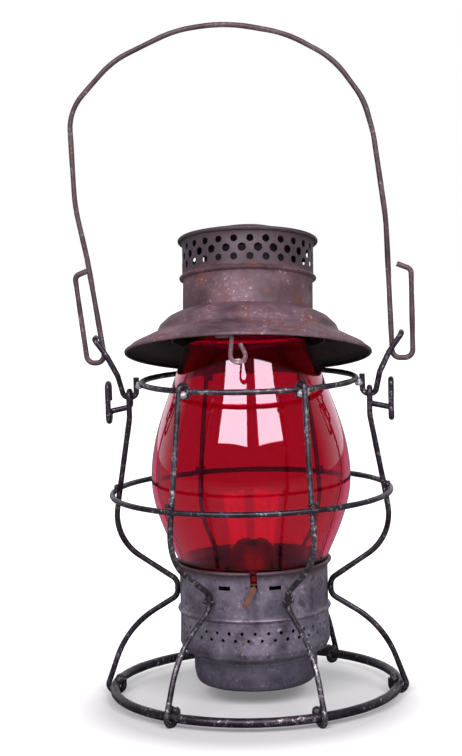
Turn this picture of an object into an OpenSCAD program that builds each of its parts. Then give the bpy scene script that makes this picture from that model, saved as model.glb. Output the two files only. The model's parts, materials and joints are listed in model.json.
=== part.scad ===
// Railroad lantern with a wire cage, a perforated burner cup, a ruby globe and a hinged lid.
// Millimetres. +Z is up, the floor is z = 0 and the lantern's axis is x = y = 0.
// The front, with the latch and the wick lever, looks along -Y, and the bail's ears lie on X.
// The lid stands a little open.

/* [Cage] */
// Radius of the base ring, to the middle of its wire
base_ring_r = 82; // [78:0.5:90]
// Diameter of the base ring's wire
base_wire = 5.3; // [4:0.1:6]
// Diameter of the wire of the guards, the upper rings and the ears
cage_wire = 3.2; // [2.6:0.1:3.6]
// Radius of the middle ring, which passes outside the guards
mid_ring_r = 79.7; // [76:0.1:84]
// Height of the middle ring
mid_ring_z = 119; // [112:1:126]
// Radius of the top ring
top_ring_r = 61.1; // [58:0.1:63]
// Height of the top ring
top_ring_z = 182.8; // [180:0.2:186]
// Height of the guards' waist, where they hold the cup
waist_z = 62.7; // [59:0.5:66]
// Length of the guards' upright run at the waist
waist_run = 9; // [7.5:0.5:12]
// Height at which the guards turn upright over the waist
shoulder_z = 91.5; // [88:0.5:96]
// How far the guards' shoulder lies outside their place at the middle ring
shoulder_bulge = 4.2; // [2:0.1:6]
// Height at which the guards' lower legs turn inwards
knee_z = 39.8; // [36:0.2:43]
// Depth of the flat worn under each foot
foot_flat = 0.3; // [0.1:0.05:0.5]
// Gap between a wire and the wire that it is hooked round
hook_gap = 0.15; // [0.1:0.05:0.3]
// How far the top of the front right guard is bent round the ring, in degrees
front_right_lean = 2.8; // [0:0.1:18]
// How far the top of the front left guard is bent round the ring, in degrees
front_left_lean = 1; // [0:0.5:10]
// Radius of a bead of solder
solder_r = 1.5; // [1.1:0.1:1.7]

/* [Ears and rest loops] */
// Height of the bottom of the ear's bend, where the side guard hooks over it
ear_dip_z = 174; // [172:0.5:176]
// How far that bend lies outside the top ring
ear_reach = 7.6; // [6.4:0.1:9]
// Height of the ear's tip
ear_tip_z = 207.7; // [205:0.1:212]
// How far the ear's wire passes in front of the bail's wire, middle to middle
ear_front = 3.25; // [3.2:0.05:4]
// How far the left ear's tip is bent outwards, as the bail's left slot leans
ear_left_bend = 0.4; // [0:0.1:2]
// Distance of the rest loop from the axis
rest_loop_r = 80.9; // [78:0.1:82]
// Height of the rest loop's top
rest_loop_top = 181.9; // [178:0.5:184]
// Height of the rest loop's bottom
rest_loop_bottom = 160.2; // [152:0.1:160.2]
// Width of the rest loop, middle to middle
rest_loop_w = 6.2; // [5.6:0.1:7.4]

/* [Bail] */
// Diameter of the bail's wire
bail_wire = 3; // [2.4:0.1:3.4]
// Height of the bail's pivot, in the bottom of its slots
bail_pivot_z = 194; // [191:0.5:197]
// Height of the bail's bow over the pivot
bail_h = 190.3; // [182:0.1:210]
// Distance of the slot's inner strand from the axis, at the pivot
bail_strand_r = 82; // [81.6:0.1:82.6]
// Width of the bail's slots, middle to middle
bail_slot_w = 10.4; // [9.8:0.1:11.4]
// Length of the bail's slots
bail_slot_l = 50; // [40:1:60]

/* [Cup and well] */
// Outer radius of the burner cup
cup_r = 42.5; // [41.6:0.1:44]
// Thickness of the sheet metal
sheet = 0.6; // [0.4:0.05:0.8]
// Height of the cup's rim
cup_rim_z = 80; // [78:0.5:83]
// Radius of the roll round the cup's rim
rim_roll = 1.1; // [0.9:0.05:1.3]
// Height of the bead round the cup
cup_bead_z = 52.2; // [50:0.5:55]
// Height of the lower row of air holes
air_row_z = 40.9; // [39:0.1:42]
// Distance between the two rows of air holes
air_row_gap = 4; // [3:0.1:5]
// Diameter of an air hole
air_hole = 1.9; // [1.4:0.1:2.4]
// Air holes in a row
air_holes = 36; // [24:1:44]
// Height of the shoulder between cup and well
shoulder_step_z = 30; // [28:0.5:33]
// Outer radius of the well
well_r = 35.5; // [34:0.1:36.5]
// Height of the well's underside
well_z = 9; // [8:0.2:12]
// Width of the slot in the cup's rim
lever_slot_w = 4; // [3.4:0.1:5]

/* [Globe] */
// Height of the globe
globe_h = 136.5; // [132:0.5:138]
// Largest radius of the globe
globe_r = 57.3; // [54:0.1:60]
// Gap between the globe's foot and the cup's wall
globe_foot_gap = 1.7; // [1.5:0.1:2.3]
// Outer radius of the globe's top
globe_top_r = 34.4; // [32:0.1:34.8]
// Thickness of the glass
glass = 3; // [2.4:0.1:3.6]
// Gap between the globe and the plate that it stands on
globe_gap = 0.1; // [0.05:0.05:0.3]

/* [Fount and burner] */
// Gap between the fount and the well
fount_gap = 0.4; // [0.2:0.05:0.8]
// Height of the fount's neck
fount_top_z = 58; // [55:0.5:60]
// Height of the plate that carries the globe and the burner
plate_z = 72.4; // [71.6:0.1:73]
// Radius of the burner's body
burner_r = 13.5; // [12.5:0.1:15]
// Height of the top of the burner's cone
cone_top_z = 92; // [88:0.5:96]
// Width of the wick
wick_w = 16; // [12:0.5:17]
// Thickness of the wick
wick_t = 2; // [1.6:0.1:2.4]
// Height of the wick's top
wick_top_z = 87; // [84:0.5:88]
// Gap between the wick and its tube
wick_gap = 0.3; // [0.2:0.05:0.5]
// Diameter of the wick shaft
shaft_d = 2.4; // [2:0.1:2.6]
// Radius of the spur wheels on the shaft
spur_r = 2.6; // [2.4:0.1:2.8]
// Running gap round the shaft
shaft_gap = 0.08; // [0.05:0.01:0.1]
// Length of the thumb lever
lever_l = 11.5; // [9:0.5:12]

/* [Lid] */
// How far the lid stands open, in degrees
lid_open = 14.3; // [0:0.1:20]
// How far the lid's brim reaches past the top ring
brim_over = 9.5; // [8:0.1:11]
// Height of the brim with the lid closed
brim_z = 182; // [182:0.1:183]
// Height of the dome's top over the brim
dome_h = 24.2; // [22:0.1:26]
// Outer radius of the chimney
chimney_r = 37.2; // [36.9:0.1:38]
// Height of the chimney's top over the brim
chimney_h = 66.8; // [66.4:0.2:72]
// Radius of the roll round the chimney's top
chimney_roll = 1.2; // [1:0.1:1.5]
// Height of the chimney's bead over the brim
chimney_bead_h = 43.8; // [41:0.2:44.6]
// Height of the lowest row of holes over the brim
vent_h = 49.8; // [49:0.1:50.4]
// Distance between the rows of holes
vent_gap = 5.15; // [5:0.05:5.4]
// Diameter of a hole in the upper and the lower row
vent_d = 4.1; // [3.4:0.1:4.4]
// Diameter of a hole in the middle row
vent_mid_d = 4.7; // [3.4:0.1:5]
// Holes in a row
vents = 26; // [20:1:28]
// How far the cap's crown stands over the chimney's top
cap_crown = 6.5; // [2:0.5:9]
// Outer radius of the tube inside the chimney
draft_r = 25; // [22:0.5:32]
// How far the tube's shelf lies under the chimney's bead
draft_drop = 9.6; // [6:0.2:14]
// Radius of the bore that the hinge strap has round the top ring
hinge_bore_r = 2.1; // [2.05:0.05:2.3]
// Width of the hinge strap
hinge_w = 11; // [8:0.5:12]
// Diameter of the latch loop's wire
latch_wire = 2.4; // [2:0.1:2.6]
// Length of the latch loop
latch_l = 15.2; // [15:0.1:20]
// How far the latch's pivot lies outside the top ring
latch_over = 3.7; // [3.6:0.05:3.9]
// Gap between pieces of the lid that are riveted or clinched
seat_gap = 0.1; // [0.05:0.05:0.2]

/* [Hidden] */

$fn = 96;
wire_fn = 24;

steel = [0.27, 0.28, 0.31];
tin = [0.52, 0.51, 0.55];
rust = [0.34, 0.26, 0.26];
brass = [0.66, 0.50, 0.24];
copper = [0.60, 0.38, 0.28];
ruby = [0.70, 0.03, 0.07, 0.6];
cotton = [0.85, 0.80, 0.70];
solder = [0.72, 0.72, 0.74];

// The base ring lies inside the feet, which stand on their worn flats.
foot_bend = base_wire / 2 + hook_gap + cage_wire / 2;
base_ring_z = foot_bend + cage_wire / 2 - foot_flat;
foot_lean = 20;

hook_bend = cage_wire + hook_gap;
guard_mid_r = mid_ring_r - cage_wire - hook_gap;
guard_waist_r = cup_r + cage_wire / 2 + hook_gap;
ear_dip_r = top_ring_r + ear_reach;
globe_foot_r = cup_r - sheet - globe_foot_gap;
brim_r = top_ring_r + brim_over;
latch_r = top_ring_r + latch_over;

// The lid turns about the back of the top ring.
hinge_y = top_ring_r;
hinge_z = top_ring_z;

// The wick and its shaft.
shaft_x = wick_t / 2 + spur_r;
shaft_z = plate_z - 1.6;
tube_wall = 0.5;
lever_y = cup_r + rim_roll + 2.2;
lever_t = 0.9;
lever_w = 3.2;
lever_turn = 28;

// Unit vector along v.
function unit(v) = v / norm(v);

// A point at radius r, turned by az degrees from the front towards +X, shifted along the turn, at height z.
function round_axis(az, r, side, z) =
    [r * sin(az) + side * cos(az), -r * cos(az) + side * sin(az), z];

// Places the children with their x axis along u and their y axis along v.
module along(p, u, v) {
    w = cross(u, v);
    multmatrix([
        [u[0], v[0], w[0], p[0]],
        [u[1], v[1], w[1], p[1]],
        [u[2], v[2], w[2], p[2]],
        [0, 0, 0, 1]
    ]) children();
}

// How far before a corner a bend of radius r starts.
function bend_start(a, p, b, r) =
    r * tan((180 - acos(unit(a - p) * unit(b - p))) / 2);

// Round wire of diameter d along points. bends holds the bend radius at each inner point.
// A straight run reaches bend_lap into the bends, which are bend_swell thicker, as a bent wire is.
bend_lap = 0.1;
bend_swell = 0.02;
module wire(points, bends, d) {
    last = len(points) - 1;
    starts = [for (i = [0:last])
        i == 0 || i == last ? bend_lap
            : bend_start(points[i - 1], points[i], points[i + 1], bends[i - 1])];
    for (i = [0:last - 1]) {
        go = unit(points[i + 1] - points[i]);
        run = norm(points[i + 1] - points[i]) - starts[i] - starts[i + 1] + 2 * bend_lap;
        side = unit(cross(go, abs(go[1]) < 0.9 ? [0, 1, 0] : [1, 0, 0]));
        along(points[i] + go * (starts[i] - bend_lap), side, cross(go, side))
            cylinder(h = run, d = d, $fn = wire_fn);
    }
    for (i = [1:last - 1]) {
        back = unit(points[i - 1] - points[i]);
        ahead = unit(points[i + 1] - points[i]);
        turn = 180 - acos(back * ahead);
        r = bends[i - 1];
        middle = points[i] + unit(back + ahead) * r / cos(turn / 2);
        along(middle, unit(points[i] + back * starts[i] - middle), -back)
            rotate_extrude(angle = turn, $fn = 96)
                translate([r, 0]) circle(d = d + bend_swell, $fn = wire_fn);
    }
}

// Ring of round wire.
module ring(r, z, d) {
    translate([0, 0, z]) rotate_extrude() translate([r, 0]) circle(d = d, $fn = wire_fn);
}

// The same corner list with each inner corner turned into a short arc of radius r.
function rounded(p, r, steps) = [
    for (i = [0:len(p) - 1])
        if (i == 0 || i == len(p) - 1) p[i]
        else each corner_arc(p[i - 1], p[i], p[i + 1], r, steps)
];
function corner_arc(a, p, b, r, steps) =
    let (back = unit(a - p), ahead = unit(b - p), turn = 180 - acos(back * ahead),
         start = min(r * tan(turn / 2), norm(a - p) * 0.45, norm(b - p) * 0.45),
         rr = start / tan(turn / 2),
         middle = p + unit(back + ahead) * rr / cos(turn / 2),
         from = p + back * start - middle,
         way = cross([from[0], from[1], 0], [-back[0], -back[1], 0])[2] > 0 ? 1 : -1)
    turn < 1 ? [p] : [for (k = [0:steps])
        middle + [from[0] * cos(way * turn * k / steps) - from[1] * sin(way * turn * k / steps),
                  from[0] * sin(way * turn * k / steps) + from[1] * cos(way * turn * k / steps)]];

// The path p moved t to the left of its own direction.
function beside(p, t) = [
    for (i = [0:len(p) - 1])
        let (a = i == 0 ? unit(p[1] - p[0]) : unit(p[i] - p[i - 1]),
             b = i == len(p) - 1 ? a : unit(p[i + 1] - p[i]),
             n = unit([-(a[1] + b[1]), a[0] + b[0]]))
        p[i] + n * t / (n * [-a[1], a[0]])
];
function backwards(p) = [for (i = [len(p) - 1:-1:0]) p[i]];

// Sheet metal of revolution: its outside follows p and its thickness t lies to the left of p.
module spun(p, t) {
    inner = [for (q = beside(p, t)) [max(q[0], 0), q[1]]];
    rotate_extrude() polygon(concat(p, backwards(inner)));
}

/* Cage */

module base_ring() {
    color(steel) ring(base_ring_r, base_ring_z, base_wire);
}

module middle_ring() {
    color(steel) ring(mid_ring_r, mid_ring_z, cage_wire);
}

module top_ring() {
    color(steel) ring(top_ring_r, top_ring_z, cage_wire);
}

// A hook's bends are this much tighter than the ring's own curve, which leaves a short flat between them.
tight = 0.2;
waist_bend = 6;
knee_bend = 55;
shoulder_bend = 28;
mid_bend = 30;
foot_line_r = base_ring_r + foot_bend / cos(foot_lean) + foot_bend * tan(foot_lean);
knee_r = foot_line_r - (knee_z - base_ring_z + foot_bend) * tan(foot_lean);

// The guard's corners from the foot's tail up to the middle ring.
function guard_foot(az) = [
    round_axis(az, base_ring_r - foot_bend, 0, base_ring_z + base_wire / 2 + 0.4),
    round_axis(az, base_ring_r - foot_bend, 0, base_ring_z - foot_bend),
    round_axis(az, foot_line_r, 0, base_ring_z - foot_bend),
    round_axis(az, knee_r, 0, knee_z),
    round_axis(az, guard_waist_r, 0, waist_z - waist_run / 2),
    round_axis(az, guard_waist_r, 0, waist_z + waist_run / 2),
    round_axis(az, guard_mid_r + shoulder_bulge, 0, shoulder_z),
    round_axis(az, guard_mid_r, 0, mid_ring_z)
];
guard_foot_bends = [
    foot_bend - tight, foot_bend - tight, knee_bend, waist_bend, waist_bend, shoulder_bend, mid_bend
];

// A guard whose top hooks over the top ring, turned by lean from the guard's own plane.
function hooked_top(az) = [
    round_axis(az, top_ring_r + hook_bend, 0, top_ring_z + hook_bend),
    round_axis(az, top_ring_r - hook_bend, 0, top_ring_z + hook_bend),
    round_axis(az, top_ring_r - hook_bend, 0, top_ring_z - 5)
];
module hooked_guard(az, lean) {
    color(steel) difference() {
        wire(concat(guard_foot(az), hooked_top(az + lean)),
             concat(guard_foot_bends, [hook_bend - tight, hook_bend - tight]), cage_wire);
        foot_cut();
    }
}

// The corner of a side guard next over the middle ring.
function side_rise(az) = round_axis(az, ear_dip_r, az > 0 ? -hook_bend : hook_bend, ear_dip_z - 12);

// The guards' places round the axis, and the turn of each front and back guard's hook.
guard_azs = [-150, -90, -30, 30, 90, 150];
hook_azs = [-150, -30 - front_left_lean, 30 + front_right_lean, 150];

// A side guard hooks over the ear and ends in the rest loop.
module side_guard(az) {
    h = hook_bend;
    w = rest_loop_w / 2;
    top = ear_dip_z + hook_bend;
    arm_z = ear_dip_z - 6;
    side = az > 0 ? 1 : -1;
    points = concat(guard_foot(az), [
        side_rise(az),
        round_axis(az, ear_dip_r, -h * side, top),
        round_axis(az, ear_dip_r, h * side, top),
        round_axis(az, ear_dip_r, h * side, arm_z),
        round_axis(az, rest_loop_r, w * side, arm_z - 2.5),
        round_axis(az, rest_loop_r, w * side, rest_loop_bottom),
        round_axis(az, rest_loop_r, -w * side, rest_loop_bottom),
        round_axis(az, rest_loop_r, -w * side, rest_loop_top),
        round_axis(az, rest_loop_r, w * side, rest_loop_top),
        round_axis(az, rest_loop_r, w * side, rest_loop_top - 10)
    ]);
    bends = concat(guard_foot_bends,
        [20, h - tight, h - tight, 2.5, 2.5, w - tight, w - tight, w - tight, w - tight]);
    color(steel) difference() {
        wire(points, bends, cage_wire);
        foot_cut();
    }
}

module foot_cut() {
    translate([-200, -200, -10]) cube([400, 400, 10]);
}

module guard_left() { side_guard(-90); }
module guard_right() { side_guard(90); }
module guard_front_left() { hooked_guard(-30, -front_left_lean); }
module guard_front_right() { hooked_guard(30, front_right_lean); }
module guard_back_left() { hooked_guard(-150, 0); }
module guard_back_right() { hooked_guard(150, 0); }

// An ear stands against the outside of the top ring, dips under the side guard and ends in a crook
// through the bail's slot.
ear_foot_r = top_ring_r + hook_bend + 0.2;
module ear(side, bent) {
    tip_r = bail_strand_r + bail_slot_w / 2 + bent;
    points = [
        [side * ear_foot_r, 0, top_ring_z + 2.4],
        [side * (ear_dip_r - 3.9), 0, ear_dip_z],
        [side * (ear_dip_r + 3.3), 0, ear_dip_z],
        [side * (ear_dip_r + 6), -ear_front, ear_dip_z + 12.5],
        [side * (tip_r - 6.8), -ear_front, ear_tip_z - 9.5],
        [side * tip_r, -ear_front, ear_tip_z],
        [side * tip_r, 3, ear_tip_z + 0.5]
    ];
    color(steel) wire(points, [3.3, 3.3, 6, 6, 2.4], cage_wire);
}

module ear_left() { ear(-1, ear_left_bend); }
module ear_right() { ear(1, 0); }

// Two beads of solder in the crooks where an upright wire at radius wire_r crosses a ring of wire d.
// They lie over the ring where up is 1 and under it where up is -1.
solder_gap = 0.4;
module crook_beads(az, wire_r, ring_r, ring_z, d, up) {
    middle = (wire_r + ring_r) / 2;
    side = sqrt(pow(cage_wire / 2 + solder_r + solder_gap, 2) - pow(middle - wire_r, 2));
    rise = sqrt(pow(d / 2 + solder_r + solder_gap, 2) - pow(middle - ring_r, 2));
    for (way = [-1, 1])
        translate(round_axis(az, middle, way * side, ring_z + up * rise)) sphere(r = solder_r, $fn = 16);
}

module solder_joints() {
    leg_slope = (guard_mid_r - top_ring_r - hook_bend) / (top_ring_z + hook_bend - mid_ring_z);
    leg_r = top_ring_r + hook_bend + (hook_bend + solder_r + cage_wire / 2) * leg_slope;
    cup_bead_r = cup_r + solder_gap + solder_r;
    cup_bead_side = sqrt(pow(cage_wire / 2 + solder_r + solder_gap, 2) - pow(cup_bead_r - guard_waist_r, 2));
    color(solder) {
        // The upper ends of the front and back guards, and of the ears.
        for (az = hook_azs) crook_beads(az, leg_r, top_ring_r, top_ring_z, cage_wire, -1);
        for (az = [-90, 90]) crook_beads(az, ear_foot_r, top_ring_r, top_ring_z, cage_wire, -1);
        // The guards' crossings with the middle ring, their feet, and their waist on the cup.
        for (az = guard_azs) {
            crook_beads(az, guard_mid_r, mid_ring_r, mid_ring_z, cage_wire, 1);
            crook_beads(az, base_ring_r - foot_bend, base_ring_r, base_ring_z, base_wire, 1);
            for (way = [-1, 1])
                translate(round_axis(az, cup_bead_r, way * cup_bead_side, waist_z)) sphere(r = solder_r, $fn = 16);
        }
    }
}

/* Cup, well and fount */

well_top_z = shoulder_step_z - 5;
seam_gap = 0.1;

// The outline of a bead of height h, pressed out of a wall of radius r at height z.
function bead_line(r, z, h) = [for (t = [-3:3]) [r + h * cos(30 * t), z + 0.53 * t]];

module burner_cup() {
    bead = 1.5;
    neck_z = cup_rim_z - 5;
    foot_r = cup_r + 0.7;
    outline = concat(
        [[well_r, well_top_z + seam_gap]],
        rounded([[well_r, shoulder_step_z - 4], [foot_r - 1.5, shoulder_step_z - 0.5],
                 [foot_r, shoulder_step_z + 3], [cup_r, cup_bead_z - 2.2]], 2, 4),
        bead_line(cup_r, cup_bead_z, bead),
        rounded([[cup_r, cup_bead_z + 2.2], [cup_r, neck_z], [cup_r + rim_roll, cup_rim_z - rim_roll]], 3, 4)
    );
    color(tin) {
        difference() {
            union() {
                spun(outline, sheet);
                ring(cup_r + rim_roll, cup_rim_z - rim_roll, 2 * rim_roll);
                lap_seam();
            }
            for (row = [0, 1], i = [0:air_holes - 1])
                rotate([0, 0, (i + row / 2) * 360 / air_holes])
                    translate([0, 0, air_row_z + row * air_row_gap]) rotate([0, 90, 0])
                        translate([0, 0, cup_r - 3]) cylinder(d = air_hole, h = 6, $fn = 24);
            translate([shaft_x - lever_slot_w / 2, -cup_r - 5, shaft_z - shaft_d / 2 - 0.6])
                cube([lever_slot_w, 12, cup_rim_z]);
            for (az = lance_angles)
                rotate([0, 0, az]) translate([-lance_w / 2, -cup_r - 2, plate_z - 3.1])
                    cube([lance_w, 4, 2.4]);
        }
        for (az = lance_angles)
            rotate([0, 0, az]) lance();
    }
}

// Six tabs are lanced out of the cup's wall and bent inwards to carry the plate.
lance_angles = [for (third = [0, 120, 240], side = [-18, 21]) third + side];
lance_w = 7;
module lance() {
    intersection() {
        translate([-lance_w / 2, -cup_r - 1, plate_z - 0.7]) cube([lance_w, 5, 0.7]);
        difference() {
            cylinder(r = cup_r - sheet / 2, h = 200);
            cylinder(r = cup_r - 3.6, h = 200);
        }
    }
}

module lap_seam() {
    seam_az = 57;
    rotate([0, 0, seam_az]) difference() {
        translate([-1.6, -cup_r - 0.45, shoulder_step_z + 5])
            cube([3.2, 1.5, cup_rim_z - shoulder_step_z - 12]);
        cylinder(r = cup_r - 0.1, h = 200);
    }
}

module well() {
    corner = 8;
    outline = concat(
        rounded([[0, well_z], [well_r - 1.5, well_z], [well_r, well_z + corner],
                 [well_r, well_top_z - 1]], 6, 6),
        [[well_r, well_top_z]]
    );
    color(tin) union() {
        spun(outline, sheet);
        // The well's top is tucked inside the cup's lower edge.
        translate([0, 0, well_top_z - 0.2]) difference() {
            cylinder(r = well_r - sheet, h = 4);
            translate([0, 0, -1]) cylinder(r = well_r - 2 * sheet, h = 6);
        }
    }
}

fount_r = well_r - 2 * sheet - fount_gap;
neck_r = burner_r - 1.5;
module fount() {
    floor_z = well_z + sheet;
    outline = rounded([
        [0, floor_z], [fount_r - 3, floor_z], [fount_r, floor_z + 7.5],
        [fount_r, fount_top_z - 10], [fount_r - 5, fount_top_z - 4.5], [neck_r + 2, fount_top_z],
        [neck_r, collar_z]
    ], 4, 5);
    color(tin) spun(outline, sheet);
}

module fount_collar() {
    color(brass) translate([0, 0, collar_z]) difference() {
        union() {
            cylinder(r = burner_r - 0.5, h = collar_h);
            cylinder(r = burner_r + 0.7, h = collar_flange);
        }
        translate([0, 0, -1]) cylinder(r = neck_r - 0.5, h = 6);
    }
}

/* Burner */

module burner_plate() {
    plate_r = cup_r - sheet - 0.4;
    color(brass) difference() {
        union() {
            translate([0, 0, plate_z]) cylinder(r = plate_r, h = sheet);
            translate([0, 0, plate_z + sheet]) difference() {
                cylinder(r = burner_r + 3.6, h = 1.2);
                translate([0, 0, -1]) cylinder(r = burner_r + 3, h = 4);
            }
        }
        translate([0, 0, plate_z - 1]) cylinder(r = burner_r + 0.1, h = 4);
        for (row = [0, 1, 2], i = [0:23 + 6 * row])
            rotate([0, 0, (i + row / 2) * 360 / (24 + 6 * row)])
                translate([burner_r + 7 + row * 5, 0, plate_z - 1]) cylinder(d = 2.4, h = 4, $fn = 24);
    }
}

collar_z = fount_top_z + 0.3;
collar_h = 3.2;
collar_flange = 0.8;

module burner_body() {
    skirt_z = collar_z + collar_h;
    foot_z = collar_z + collar_flange;
    color(brass) difference() {
        union() {
            translate([0, 0, foot_z]) cylinder(r = burner_r + 0.7, h = skirt_z + 1 - foot_z);
            translate([0, 0, skirt_z]) cylinder(r = burner_r + 1.6, h = 1);
            translate([0, 0, skirt_z + 1]) cylinder(r = burner_r, h = plate_z + sheet + 0.6 - skirt_z - 1);
        }
        translate([0, 0, fount_top_z]) cylinder(r = burner_r - 0.5 + seat_gap, h = skirt_z - fount_top_z);
        translate([0, 0, skirt_z + 0.8]) cylinder(r = burner_r - 0.6, h = 30);
        tube_space(tube_wall + 0.05, skirt_z - 1, 4);
        translate([shaft_x, 0, shaft_z]) rotate([90, 0, 0])
            cylinder(d = shaft_d + 2 * shaft_gap, h = 2 * burner_r, center = true, $fn = 48);
        for (i = [0:11])
            rotate([0, 0, 15 + i * 30]) translate([0, 0, skirt_z + 4.2]) rotate([0, 90, 0])
                translate([0, 0, burner_r - 3]) cylinder(d = 2.6, h = 6, $fn = 24);
    }
}

// A box round the wick's space, grown by wall on every side.
module tube_space(wall, z, h) {
    x = wick_t + 2 * wick_gap + 2 * wall;
    y = wick_w + 2 * wick_gap + 2 * wall;
    translate([-x / 2, -y / 2, z]) cube([x, y, h]);
}

module wick_tube() {
    foot = fount_top_z - 2;
    color(brass) difference() {
        tube_space(tube_wall, foot, cone_top_z - 7 - foot);
        tube_space(0, foot - 1, cone_top_z);
        for (side = [-1, 1])
            translate([0, side * wick_w / 4 - 1, shaft_z - 3.2]) cube([10, 2, 6.4]);
    }
}

module burner_cone() {
    base_z = plate_z + sheet;
    base_r = burner_r + 2.9;
    outline = rounded([
        [base_r, base_z], [base_r, base_z + 3.5], [base_r - 3.5, cone_top_z - 7],
        [base_r - 8, cone_top_z - 1.5], [0, cone_top_z]
    ], 5, 5);
    color(brass) difference() {
        spun(outline, 0.5);
        translate([-2.6, -wick_w / 2 - 1.5, cone_top_z - 8]) cube([5.2, wick_w + 3, 20]);
    }
}

module wick() {
    foot_z = well_z + 8.5;
    color(cotton) translate([-wick_t / 2, -wick_w / 2, foot_z])
        cube([wick_t, wick_w, wick_top_z - foot_z]);
}

module wick_shaft() {
    teeth = 10;
    color(brass) {
        translate([shaft_x, -lever_y - 0.4, shaft_z]) rotate([-90, 0, 0])
            cylinder(d = shaft_d, h = lever_y + 0.4 + burner_r + 1.5, $fn = 48);
        for (side = [-1, 1])
            translate([shaft_x, side * wick_w / 4, shaft_z]) rotate([90, 0, 0]) difference() {
                cylinder(r = spur_r - 0.05, h = 1.2, center = true, $fn = 48);
                for (i = [0:teeth - 1])
                    rotate([0, 0, i * 360 / teeth]) translate([spur_r, 0, 0])
                        cylinder(d = 0.9, h = 3, center = true, $fn = 24);
            }
    }
}

// A flat tongue, riveted over the shaft's end outside the cup.
module thumb_lever() {
    color(copper) translate([shaft_x, -lever_y - 0.4, shaft_z]) rotate([90, 0, 0])
        rotate([0, 0, -90 - lever_turn]) union() {
            cylinder(d = lever_w + 0.6, h = lever_t, $fn = 48);
            translate([0, -lever_w / 2, 0]) cube([lever_l - lever_w / 2, lever_w, lever_t]);
            translate([lever_l - lever_w / 2, 0, 0]) cylinder(d = lever_w, h = lever_t, $fn = 48);
        }
}

/* Globe */

// One point of a smooth curve from a to b, whose tangents there are ta and tb.
function curve(a, ta, b, tb, t) =
    a * (1 - t) * (1 - t) * (1 + 2 * t) + ta * t * (1 - t) * (1 - t)
    + b * t * t * (3 - 2 * t) - tb * t * t * (1 - t);

module globe() {
    z = plate_z + sheet + globe_gap;
    belly_z = z + globe_h * 0.385;
    steps = 9;
    outline = concat(
        [for (k = [0:steps - 1])
            curve([globe_foot_r, z], [1, 20], [globe_r, belly_z], [0, 62], k / steps)],
        [for (k = [0:2 * steps])
            curve([globe_r, belly_z], [0, 96], [globe_top_r, z + globe_h], [-22, 92], k / (2 * steps))]
    );
    color(ruby) spun(outline, glass);
}

/* Lid */

module at_lid() {
    translate([0, hinge_y, hinge_z]) rotate([-lid_open, 0, 0]) translate([0, -hinge_y, -hinge_z])
        children();
}

// The dome's outside, from the brim up to the chimney.
brim_roll = 1;
crown_r = brim_r - 18.3;
crown_span = crown_r - chimney_r;
dome_line = rounded([
    [brim_r - brim_roll, brim_z + 2 * brim_roll - 0.3], [brim_r - 4, brim_z + 4.7],
    [brim_r - 15.6, brim_z + 10.5], [crown_r, brim_z + 11.9],
    [crown_r - 0.11 * crown_span, brim_z + dome_h - 8.2], [crown_r - 0.42 * crown_span, brim_z + dome_h - 3.7],
    [crown_r - 0.7 * crown_span, brim_z + dome_h - 1.5], [chimney_r + 0.35, brim_z + dome_h]
], 3, 3);

module lid_dome() {
    color(rust) at_lid() difference() {
        union() {
            spun(dome_line, sheet);
            ring(brim_r - brim_roll, brim_z + brim_roll, 2 * brim_roll);
        }
        for (x = rivet_x)
            at_rivet(x) cylinder(r = rivet_r + 0.05, h = 10, center = true, $fn = 32);
        for (x = tab_x)
            at_tab(x) translate([-tab_w / 2 - seat_gap, -tab_t / 2 - tab_slot, -5])
                cube([tab_w + 2 * seat_gap, tab_t + tab_slot + seat_gap, 10]);
    }
}

// Slope of the dome where the strap and the bracket lie on it.
slope = atan(2.5 / 5);
seat_r = brim_r - 13;
seat_z = brim_z + 9.2;

rivet_r = 1;
rivet_x = [-hinge_w / 4, hinge_w / 4];
module at_rivet(x) {
    translate([x, seat_r, seat_z]) rotate([-slope, 0, 0]) children();
}

tab_x = [-11.8, 1.3];
tab_w = 5.4;
tab_t = 0.8;
tab_slot = 1; // how much wider the slot is than the tab
module at_tab(x) {
    rotate([0, 0, atan(x / seat_r)]) translate([0, -seat_r, seat_z]) rotate([slope, 0, 0]) children();
}

band_r = chimney_r + 0.4;
module chimney() {
    bead = 1.9;
    top = brim_z + chimney_h - chimney_roll;
    outline = concat(
        [[chimney_r, brim_z + dome_h - 1.6], [chimney_r, brim_z + chimney_bead_h - 2.2]],
        bead_line(chimney_r + 0.2, brim_z + chimney_bead_h, bead),
        [[band_r, brim_z + chimney_bead_h + 2.2], [band_r, top - 3.3], [band_r + 1.5, top]]
    );
    color(rust) at_lid() difference() {
        union() {
            spun(outline, sheet);
            ring(band_r + 1.5, top, 2 * chimney_roll);
        }
        for (row = [0:2], i = [0:vents - 1])
            rotate([0, 0, (i + row / 2) * 360 / vents])
                translate([0, 0, brim_z + vent_h + row * vent_gap]) rotate([0, 90, 0])
                    translate([0, 0, chimney_r - 4])
                        cylinder(d = row == 1 ? vent_mid_d : vent_d, h = 8, $fn = 32);
    }
}

module chimney_cap() {
    cap_r = band_r - sheet - seat_gap;
    z = brim_z + chimney_h - 2.4;
    crown = brim_z + chimney_h + cap_crown;
    outline = rounded([
        [cap_r, z - 2], [cap_r, z], [0.85 * cap_r, z + 0.45 * (crown - z)],
        [0.45 * cap_r, z + 0.9 * (crown - z)], [0, crown]
    ], 2, 3);
    color(rust) at_lid() spun(outline, sheet);
}

module draft_tube() {
    foot_r = chimney_r - sheet - seat_gap;
    foot = brim_z + chimney_bead_h - draft_drop - 1.2;
    outline = rounded([
        [foot_r, foot - 3], [foot_r, foot], [draft_r, foot + 1.2], [draft_r, brim_z + chimney_h - 8]
    ], 1.2, 3);
    color(rust) at_lid() spun(outline, sheet);
}

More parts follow.
